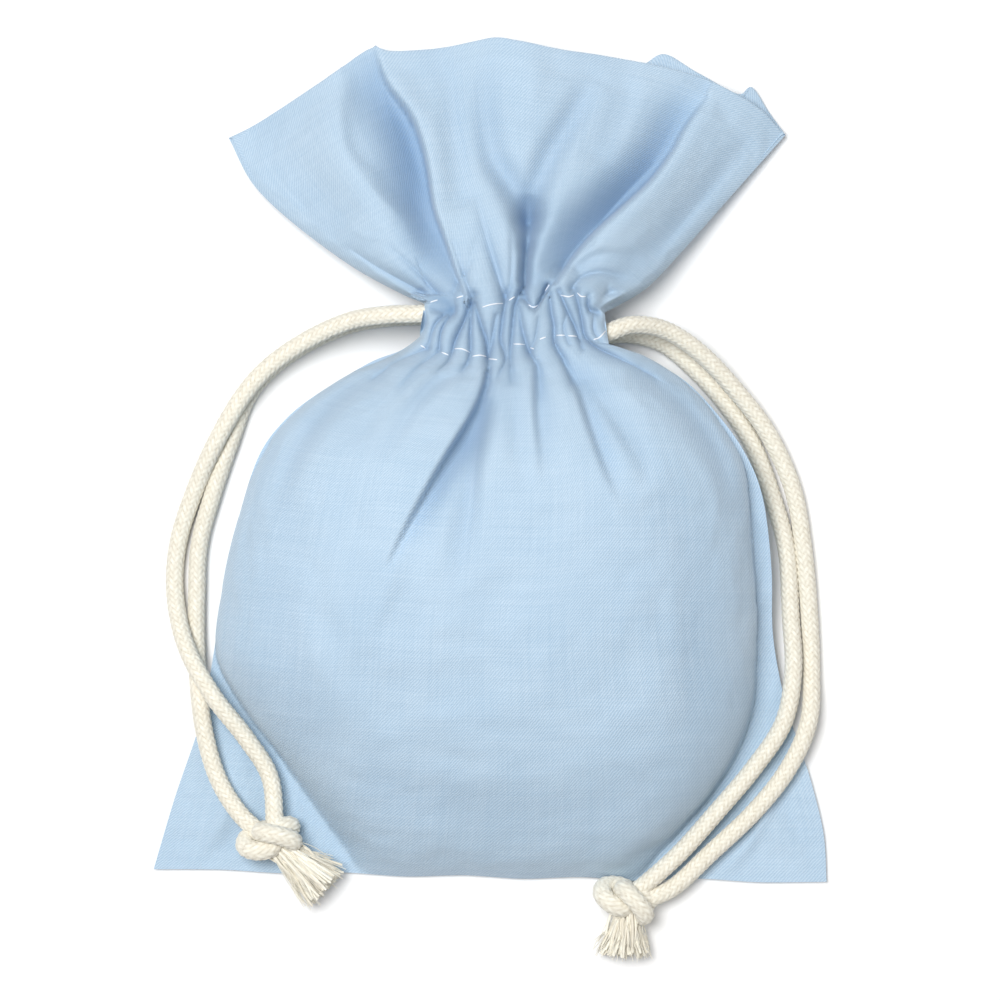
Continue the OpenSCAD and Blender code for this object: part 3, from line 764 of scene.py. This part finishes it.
COLUMNS = 240
BELLY_ROWS = 220
CASING_ROWS = 35
FRILL_ROWS = 110
FOLD_ROWS = 5
SLIT_GAP = 9.4
CASING_CLEAR = 22.8
CLOTH_WIDTH = 150.0
BELLY_LENGTH = 134.0
CASING_LENGTH = 11.5
FRILL_LENGTH = 60.0
FOLD_RADIUS = 0.45
SEAM_HEIGHT = 14
NECK_X = 5.0
LOWEST = 0.3
# Depth scale of the painted fold shade, and the extra weight of the casing's pleats in it
FOLD_SHADE_DEPTH = 13.0
PLEAT_SHADE_WEIGHT = 1.6
BACK_PLEATS = 1.35
BACK_DROP = 2.0
FRILL_START = BELLY_ROWS + CASING_ROWS - 2


def crowded(count, gather):
    """Shares from 0 to 1 that lie closer together near both ends."""
    t = np.linspace(0, 1, count)
    return t - gather * np.sin(2 * math.pi * t) / (2 * math.pi)


def from_bottom(x, y):
    """y counted from the bottom seam, which isn't quite level."""
    bottom = np.interp(x, [p[0] for p in BOTTOM], [p[1] for p in BOTTOM])
    return y - (bottom - BELLY[0, 0]) * unit((-55 - y) / 35)


def dome(place, roundness, fullness):
    return unit(1 - np.abs(np.clip(place, -1, 1)) ** roundness) ** fullness


def sack_plan(mouth):
    """Plan of one side of the sack: x and y of every grid point, and the cloth's own coordinates."""
    across = crowded(COLUMNS, 0.45)
    belly = patch(BOTTOM, LOWER_ROW, LEFT_SIDE, RIGHT_SIDE, across, crowded(BELLY_ROWS, 0.3))
    casing = patch(LOWER_ROW, UPPER_ROW, [LOWER_ROW[0], UPPER_ROW[0]], [LOWER_ROW[-1], UPPER_ROW[-1]],
                   across, np.linspace(0, 1, CASING_ROWS))
    frill = patch(UPPER_ROW, mouth, FRILL_LEFT, FRILL_RIGHT, across, np.linspace(0, 1, FRILL_ROWS))
    plan = np.concatenate([belly, casing[1:], frill[1:]])
    lengths = np.concatenate([
        crowded(BELLY_ROWS, 0.3) * BELLY_LENGTH,
        BELLY_LENGTH + np.linspace(0, 1, CASING_ROWS)[1:] * CASING_LENGTH,
        BELLY_LENGTH + CASING_LENGTH + np.linspace(0, 1, FRILL_ROWS)[1:] * FRILL_LENGTH,
    ])
    cloth = np.stack(np.broadcast_arrays(across[None, :] * CLOTH_WIDTH, lengths[:, None], 0.0), axis=-1)
    return plan, cloth, across


def ruffle(x, y, size, seed):
    """Gentle uneven waves, the same each run."""
    rng = np.random.default_rng(seed)
    total = np.zeros_like(x)
    for _ in range(14):
        angle = rng.uniform(0, math.pi)
        wave = size * rng.uniform(0.6, 1.8)
        place = x * math.cos(angle) + y * math.sin(angle)
        total += np.sin(place * 2 * math.pi / wave + rng.uniform(0, 6.3))
    return total / 14


def painted_fold_shade(folds, pleats):
    """Strength of the painted shade in the folds: from 0 on open cloth to 1 at the bottom of a deep fold;
    the pleats of the casing count for more.
    """
    depth = np.maximum(-folds - PLEAT_SHADE_WEIGHT * pleats, 0)
    return 1 - np.exp(-depth / FOLD_SHADE_DEPTH)


def frill_share(rows):
    """How far up the frill each row is: 0 up to the casing, 1 at the mouth."""
    return unit((np.arange(rows) - FRILL_START) / (FRILL_ROWS - 1))[:, None]


def frill_seam(t):
    """Height of the frill's side seams, where front and back meet."""
    return SEAM_HEIGHT - 11.2 * t**0.8


def from_side(across):
    return np.minimum(across, 1 - across)


def below_casing(y):
    return 1 - unit((y - 18) / 8)


def front_height(x, y, t, span):
    """Height of the front without its folds: the filled belly, then the frill, flatter towards its mouth."""
    shape = along_table(BELLY, from_bottom(x, y))
    crest, seam, foot_l, foot_r, roundness, fullness = np.moveaxis(shape, -1, 0)
    place = (2 * x - foot_l - foot_r) / (foot_r - foot_l)
    height = seam + 0.5 + (crest - seam - 0.5) * dome(place, roundness, fullness)
    low = frill_seam(t)
    top = 28.0 - 15.0 * t**0.9 + 2.4 * np.sin(math.pi * t)
    frill = low + (top - low) * dome(span, 6 - 3.6 * t**0.5, 0.5 + 0.45 * t)
    blend = eased(t / 0.12)
    return np.where(t > 0, height * (1 - blend) + frill * blend, height)


def clear_of_cords(height, y, span):
    """Keeps the casing above the cords in it, and rounds off what would sink into them."""
    inside = unit((y - 24.5) / 2) * unit((38 - y) / 1.5) * unit((0.985 - np.abs(span)) / 0.04)
    clear = CASING_CLEAR * inside
    rounded = clear - 0.35 * (1 - np.exp(-(clear - height) / 0.8)) * inside
    return np.where(height < clear, rounded, height)


def smooth_ends(height, y, across):
    """Evens out the cloth around both ends of the casing."""
    ends = unit(1.6 - from_side(across) / 0.06)[None, :] * np.exp(-(((y - 32) / 8) ** 4))
    for _ in range(6):
        height[1:-1] += ends[1:-1] * ((height[:-2] + height[2:]) / 2 - height[1:-1]) * 0.6
        height[:, 1:-1] += ends[:, 1:-1] * ((height[:, :-2] + height[:, 2:]) / 2 - height[:, 1:-1]) * 0.6
    return height


def front_surface():
    plan, cloth, across = sack_plan(MOUTH_FRONT)
    x, y = plan[..., 0], plan[..., 1]
    t = frill_share(len(plan))
    span = 2 * across[None, :] - 1
    edge = eased(from_side(across) / 0.05)[None, :]
    pleats = fold_height(x, y, CASING_FOLDS)
    folds = pleats + fold_height(x, y, FRILL_FOLDS) * unit((y - 30) / 5)
    folds += fold_height(x, y, BELLY_FOLDS) * below_casing(y)
    # Painted shade in the folds, kept in the cloth's third coordinate for the material
    cloth[..., 2] = painted_fold_shade(folds * edge, pleats * edge)
    height = front_height(x, y, t, span) + folds * edge + 0.35 * ruffle(x, y, 26, 3) * edge
    height += 1.2 * np.sin(span * 9.0 + 0.6) * t**2 * edge
    height = np.maximum(height, np.where(t > 0, frill_seam(t) - 0.2, LOWEST))
    height = clear_of_cords(height, y, span)
    height = np.maximum(height, slit_edge(len(plan), across, 1))
    return np.dstack([x, y, smooth_ends(height, y, across)]), cloth


def slit_edge(rows, across, side):
    """Height of the cloth at the openings that the cords leave by, at each end of the casing."""
    casing = unit((np.arange(rows) - BELLY_ROWS + 1) / (CASING_ROWS - 1))
    opening = unit(np.sin(math.pi * casing))[:, None] ** 0.4
    near = unit(1 - from_side(across) / 0.08)[None, :] ** 1.5
    gap = SLIT_GAP * opening * near
    return np.where(gap > 0.3, SEAM_HEIGHT + side * gap, -99 * side)


def back_surface():
    plan, cloth, across = sack_plan(MOUTH_BACK)
    x, y = plan[..., 0], plan[..., 1]
    t = frill_share(len(plan))
    span = 2 * across[None, :] - 1
    seam = along_table(BELLY, from_bottom(x, y))[..., 1] + 0.5
    ground = 0.35 + 3.8 * unit((y - 8) / 16) ** 1.5
    height = seam - (seam - ground) * dome(span, 8, 0.8)
    low = frill_seam(t)
    frill = low - (low - 4.2 + 3.6 * t**0.7) * dome(span, 6, 0.7)
    blend = unit(t / 0.12)
    height = np.where(t > 0, height * (1 - blend) + frill * blend, height)
    edge = unit(from_side(across) / 0.05)[None, :]
    mirrored = 2 * NECK_X - x
    pleats = fold_height(mirrored, y, CASING_FOLDS)
    gathers = fold_height(mirrored, y, GATHERS) * below_casing(y)
    gathers = gathers * (1 + 0.6 * unit((y + 10) / 20))
    # Painted shade in the folds, kept in the cloth's third coordinate for the material
    cloth[..., 2] = painted_fold_shade((pleats + gathers) * edge, pleats * edge)
    # there is room under the casing as well, so its pleats go both ways
    below = unit((y - 16) / 6) * unit((41 - y) / 4)
    height = height - (BACK_PLEATS * pleats + gathers + BACK_DROP * below) * edge
    height = height + 3.2 * t * edge * np.sin(span * 15 * (1 - 0.25 * t)) * unit(1.5 - t)
    height = np.minimum(height, slit_edge(len(plan), across, -1))
    return np.dstack([x, y, np.maximum(height, LOWEST)]), cloth


def surface_normals(points, side):
    down = np.gradient(points, axis=0)
    right = np.gradient(points, axis=1)
    normal = np.cross(right, down) * side
    return normal / np.maximum(np.linalg.norm(normal, axis=2), 1e-9)[..., None]


SIM_STEP = 2
SIM_SCALE = 10
SIM_FRAMES = 18
SIM_FARTHEST = 2.2
SPARE_CLOTH = 0.008
HOLD_LEVELS = 20
# The cloth's stiffness and damping against each kind of strain
CLOTH_FEEL = (("tension", 20, 12), ("compression", 20, 12), ("shear", 8, 12), ("bending", 0.35, 1))


def solver_piece(start, weights):
    """A copy of the cloth for the solver, ten times as large, held as firmly as the weights say."""
    vertices = (start.reshape(-1, 3) * MM * SIM_SCALE).tolist()
    mesh = bpy.data.meshes.new("settling")
    mesh.from_pydata(vertices, [], grid_faces(*start.shape[:2]).tolist())
    piece = bpy.data.objects.new("settling", mesh)
    bpy.context.scene.collection.objects.link(piece)
    group = piece.vertex_groups.new(name="held")
    for level in range(HOLD_LEVELS + 1):
        chosen = np.flatnonzero(np.round(weights * HOLD_LEVELS) == level)
        group.add(chosen.tolist(), level / HOLD_LEVELS, "REPLACE")
    cloth = piece.modifiers.new("cloth", "CLOTH").settings
    cloth.quality = 6
    cloth.mass = 0.12
    for kind, stiffness, damping in CLOTH_FEEL:
        setattr(cloth, f"{kind}_stiffness", stiffness)
        setattr(cloth, f"{kind}_damping", damping)
    cloth.vertex_group_mass = "held"
    cloth.pin_stiffness = 0.6
    cloth.shrink_min = -SPARE_CLOTH
    cloth.effector_weights.gravity = 0
    return piece


def solved(piece, start):
    """Runs the solver, and gives how far it moves each point, in millimetres."""
    scene = bpy.context.scene
    for step in range(1, SIM_FRAMES + 1):
        scene.frame_set(step)
    done = piece.evaluated_get(bpy.context.evaluated_depsgraph_get())
    moved = np.empty(start.size, np.float32)
    done.data.vertices.foreach_get("co", moved)
    scene.frame_set(1)
    bpy.data.objects.remove(piece)
    return moved.reshape(start.shape).astype(float) / (MM * SIM_SCALE) - start


def on_full_grid(moved, rows, cols, shape):
    """Movement of the coarse grid's points spread over the full grid and smoothed."""
    full = np.empty(shape)
    across = np.empty((len(rows), shape[1], 3))
    for k in range(3):
        for i in range(len(rows)):
            across[i, :, k] = np.interp(np.arange(shape[1]), cols, moved[i, :, k])
        for j in range(shape[1]):
            full[:, j, k] = np.interp(np.arange(shape[0]), rows, across[:, j, k])
    for _ in range(3):
        full[1:-1] = (full[:-2] + 2 * full[1:-1] + full[2:]) / 4
        full[:, 1:-1] = (full[:, :-2] + 2 * full[:, 1:-1] + full[:, 2:]) / 4
    return full


def settle(points, hold):
    """Lets the cloth find its own small wrinkles.

    A coarser copy of the surface gets a little spare cloth, is held along its seams and deep folds, and is
    left to Blender's cloth solver. How far it moved is then added to the full surface.
    """
    rows, cols = (np.unique(np.r_[np.arange(0, n, SIM_STEP), n - 1]) for n in points.shape[:2])
    start = points[np.ix_(rows, cols)]
    weights = hold[np.ix_(rows, cols)]
    moved = solved(solver_piece(start, weights.ravel()), start)
    far = np.linalg.norm(moved, axis=2, keepdims=True)
    moved *= np.minimum(1, SIM_FARTHEST / np.maximum(far, 1e-6))
    moved *= (1 - weights[..., None]) ** 0.5
    return points + on_full_grid(moved, rows, cols, points.shape)


def holding(points):
    """How firmly each point of the front is held: 1 at the seams and the casing, less on the open cloth."""
    x, y = points[..., 0], points[..., 1]
    folds = fold_height(x, y, FRILL_FOLDS) * (y > 36)
    folds = folds + fold_height(x, y, BELLY_FOLDS) * (y < 22)
    share = np.linspace(0, 1, points.shape[1])[None, :]
    from_mouth = (np.arange(len(points)) - len(points))[:, None]
    hold = np.clip(0.10 + np.abs(folds) / 5, 0.10, 0.85)
    for firm in (
        np.exp(-(((y - 30.5) / 8.5) ** 4)),
        np.exp(-((from_side(share) / 0.02) ** 2)),
        np.exp(-(((y + 92.5) / 2.5) ** 2)),
        0.8 * np.exp(-((from_mouth / 6) ** 2)),
    ):
        hold = np.maximum(hold, firm)
    return np.round(np.where(hold > 0.9, 1, hold), 2)


def with_facing(points, cloth, side):
    """Adds the fold at the mouth and the facing that runs back down inside to the lower stitches."""
    normal = surface_normals(points, side)
    onward = points[-1] - points[-2]
    onward /= np.linalg.norm(onward, axis=1)[:, None]
    turns = np.linspace(0, math.pi, FOLD_ROWS + 2)[1:-1]
    fold = np.array([
        points[-1] + FOLD_RADIUS * (math.sin(a) * onward - (1 - math.cos(a)) * normal[-1]) for a in turns
    ])
    share = np.linspace(0, 1, points.shape[1])
    inset = unit(1 - from_side(share) / 0.06)[None, :, None]
    lateral = np.array([1, 1, 0]) * normal * 2 * FOLD_RADIUS * inset
    middle = points[:, points.shape[1] // 2][:, None]
    inward = (middle - points) * 0.012 * inset
    inner = (points - 2 * FOLD_RADIUS * normal + lateral + inward)[BELLY_ROWS - 1:][::-1]
    top = cloth[-1, 0, 1]
    fold_cloth = np.array([cloth[-1] + [0, FOLD_RADIUS * a, 0] for a in turns])
    inner_cloth = cloth[BELLY_ROWS - 1:][::-1].copy()
    inner_cloth[..., 1] = 2 * top + math.pi * FOLD_RADIUS - inner_cloth[..., 1]
    return np.concatenate([points, fold, inner]), np.concatenate([cloth, fold_cloth, inner_cloth])


def cloth_piece(name, points, cloth, material):
    rows, cols = points.shape[:2]
    faces = grid_faces(rows, cols)
    if name.startswith("back"):
        faces = faces[:, ::-1]
    return make_mesh(name, points.reshape(-1, 3) * MM, faces, material, {"cloth": cloth.reshape(-1, 3)})


# Stitches of the front that show between the pleats, each a short line of x, y
FRONT_UPPER_STITCHES = [
    [(-13.2, 34.9), (-11.6, 35.4)], [(-7.4, 35.8), (-6.0, 36.2)], [(-1.8, 33.6), (0.4, 34.2), (2.6, 34.5)],
    [(4.0, 35.2), (5.2, 36.0)], [(8.2, 34.2), (9.4, 33.7), (10.2, 34.2)], [(11.9, 37.4), (12.8, 38.8)],
    [(15.2, 36.3), (16.8, 35.9), (18.0, 36.3)], [(18.8, 36.8), (19.6, 36.0), (20.6, 36.0)],
]
FRONT_LOWER_STITCHES = [
    [(-15.2, 25.4), (-14.2, 24.8)], [(-10.6, 23.8), (-9.2, 23.2)], [(-7.8, 24.6), (-6.2, 24.5),
    (-4.6, 23.8)],
    [(-3.9, 22.9), (-2.4, 23.1), (-1.0, 22.9)], [(-0.4, 22.4), (1.4, 22.1)], [(5.0, 25.6), (7.3, 25.5)],
    [(8.6, 24.8), (9.4, 24.5)], [(10.6, 26.6), (11.9, 27.1)], [(14.3, 27.5), (16.0, 27.5)],
    [(16.8, 27.4), (18.6, 27.3)], [(22.3, 26.6), (23.6, 27.1), (25.0, 28.6)],
]
THREAD_RADIUS = 0.00016


def running_stitches(row):
    """Even stitches along a row, each a short line."""
    path = smooth_path(row, 0.25)
    run = run_along(path)
    starts = np.arange(1.2, run[-1] - 3.0, 3.3)
    at = starts[:, None] + np.array([0, 1.1, 2.2])
    return np.dstack([np.interp(at, run, path[:, k]) for k in range(2)])


def stitches(name, lines, surface, material, side):
    """Sewing thread along short lines, lying on the cloth and sinking into it at both ends."""
    near = surface[BELLY_ROWS - 12:FRILL_START + 14].reshape(-1, 3)
    vertices, faces, yarns, count = [], [], [], 0
    sides = 8
    for line in lines:
        flat = smooth_path(line, 0.2)
        steps = np.linspace(-1, 1, len(flat))
        z = np.array([near[np.argmin((near[:, 0] - a) ** 2 + (near[:, 1] - b) ** 2), 2] for a, b in flat])
        z = np.convolve(np.pad(z, 1, mode="edge"), np.ones(3) / 3, mode="valid")
        proud = unit(np.cos(steps * math.pi / 2)) ** 0.5
        path = np.column_stack([flat, z + side * (0.22 * proud - 0.10)]) * MM
        rings = tube_points(path, THREAD_RADIUS * (0.6 + 0.4 * proud), sides)
        faces.append(grid_faces(len(path), sides, wrap=True, first=count))
        vertices.append(rings.reshape(-1, 3))
        along = np.arange(len(path)) * 0.2
        around = np.tile(np.arange(sides) / sides, len(path))
        yarns.append(np.column_stack([around, np.repeat(along, sides), np.ones(len(around))]))
        count += len(path) * sides
    return make_mesh(name, np.vstack(vertices), np.vstack(faces), material, {"yarn": np.vstack(yarns)})


def casing_end(name, x, low, high, material):
    """The turned-in end of the casing that the cords come out through."""
    rows, cols = 26, 30
    v, u = np.meshgrid(np.linspace(0, 1, rows), np.linspace(0, 1, cols), indexing="ij")
    y = low + (high - low) * u + 0.5 * np.sin(7 * v + 1)
    z = 5.4 + 15.4 * v
    tuck = 0.9 * np.sin(u * 9 + 1.6 * v) ** 2 + 1.2 * np.abs(2 * v - 1) ** 2
    points = np.dstack([x + (tuck if x < 0 else -tuck), y, z])
    cloth = np.dstack([z - 4.4, y + BELLY_LENGTH, np.zeros_like(y)])
    return make_mesh(name, points.reshape(-1, 3) * MM, grid_faces(rows, cols), material,
                     {"cloth": cloth.reshape(-1, 3)})


CASING_ENDS = {"left_casing_end": (-13.4, 28.2, 34.4), "right_casing_end": (23.6, 26.0, 32.4)}
PANEL_PARTS = ("panel", "casing", "facing", "frill")
SEAMS = ("left_side_seam", "right_side_seam", "bottom_seam", "left_frill_seam", "right_frill_seam")
STITCHES = {
    "front": {"upper": FRONT_UPPER_STITCHES, "lower": FRONT_LOWER_STITCHES},
    "back": {"upper": running_stitches(UPPER_ROW), "lower": running_stitches(LOWER_ROW)},
}


def sewn_surfaces():
    """Front and back with their coordinates, the back brought up to the front along the seams."""
    front, front_cloth = front_surface()
    back, back_cloth = back_surface()
    sewn_rows = np.r_[0:BELLY_ROWS, FRILL_START:len(front)]
    for column in (0, -1):
        back[sewn_rows, column, 2] = front[sewn_rows, column, 2] - 0.1
    back[0, :, 2] = front[0, :, 2] - 0.1
    return settle(front, holding(front)), front_cloth, back, back_cloth


def add_cloth(material, thread):
    front, front_cloth, back, back_cloth = sewn_surfaces()
    for name, (x, low, high) in CASING_ENDS.items():
        end = casing_end(name, x, low, high, material)
        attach(end, "sack")
    for side, surface, chart, outward, seams, under in (
        ("front", front, front_cloth, 1, SEAMS, "back_cloth"),
        ("back", back, back_cloth, -1, (), "floor"),
    ):
        points, coordinates = with_facing(surface, chart, outward)
        piece = cloth_piece(f"{side}_cloth", points, coordinates, material)
        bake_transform(piece)
        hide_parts(*(f"{side}_{part}" for part in PANEL_PARTS), *seams)
        for row, lines in STITCHES[side].items():
            seam = stitches(f"{side}_{row}_thread", lines, surface, thread, outward)
            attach(seam, "sack")
            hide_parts(f"{side}_{row}_stitching")


# ---------------------------------------------------------------- the scene

add_camera()
add_cords(cord_material())
add_cloth(twill_material(), thread_material())
add_floor()
add_area_light("key", (-0.24, 0.16, 1.12), 0.5, 12.3)
add_area_light("fill", (0.8, -0.1, 1.1), 1.0, 2.0)
add_world(0.30)
bpy.context.scene.view_settings.view_transform = "Standard"
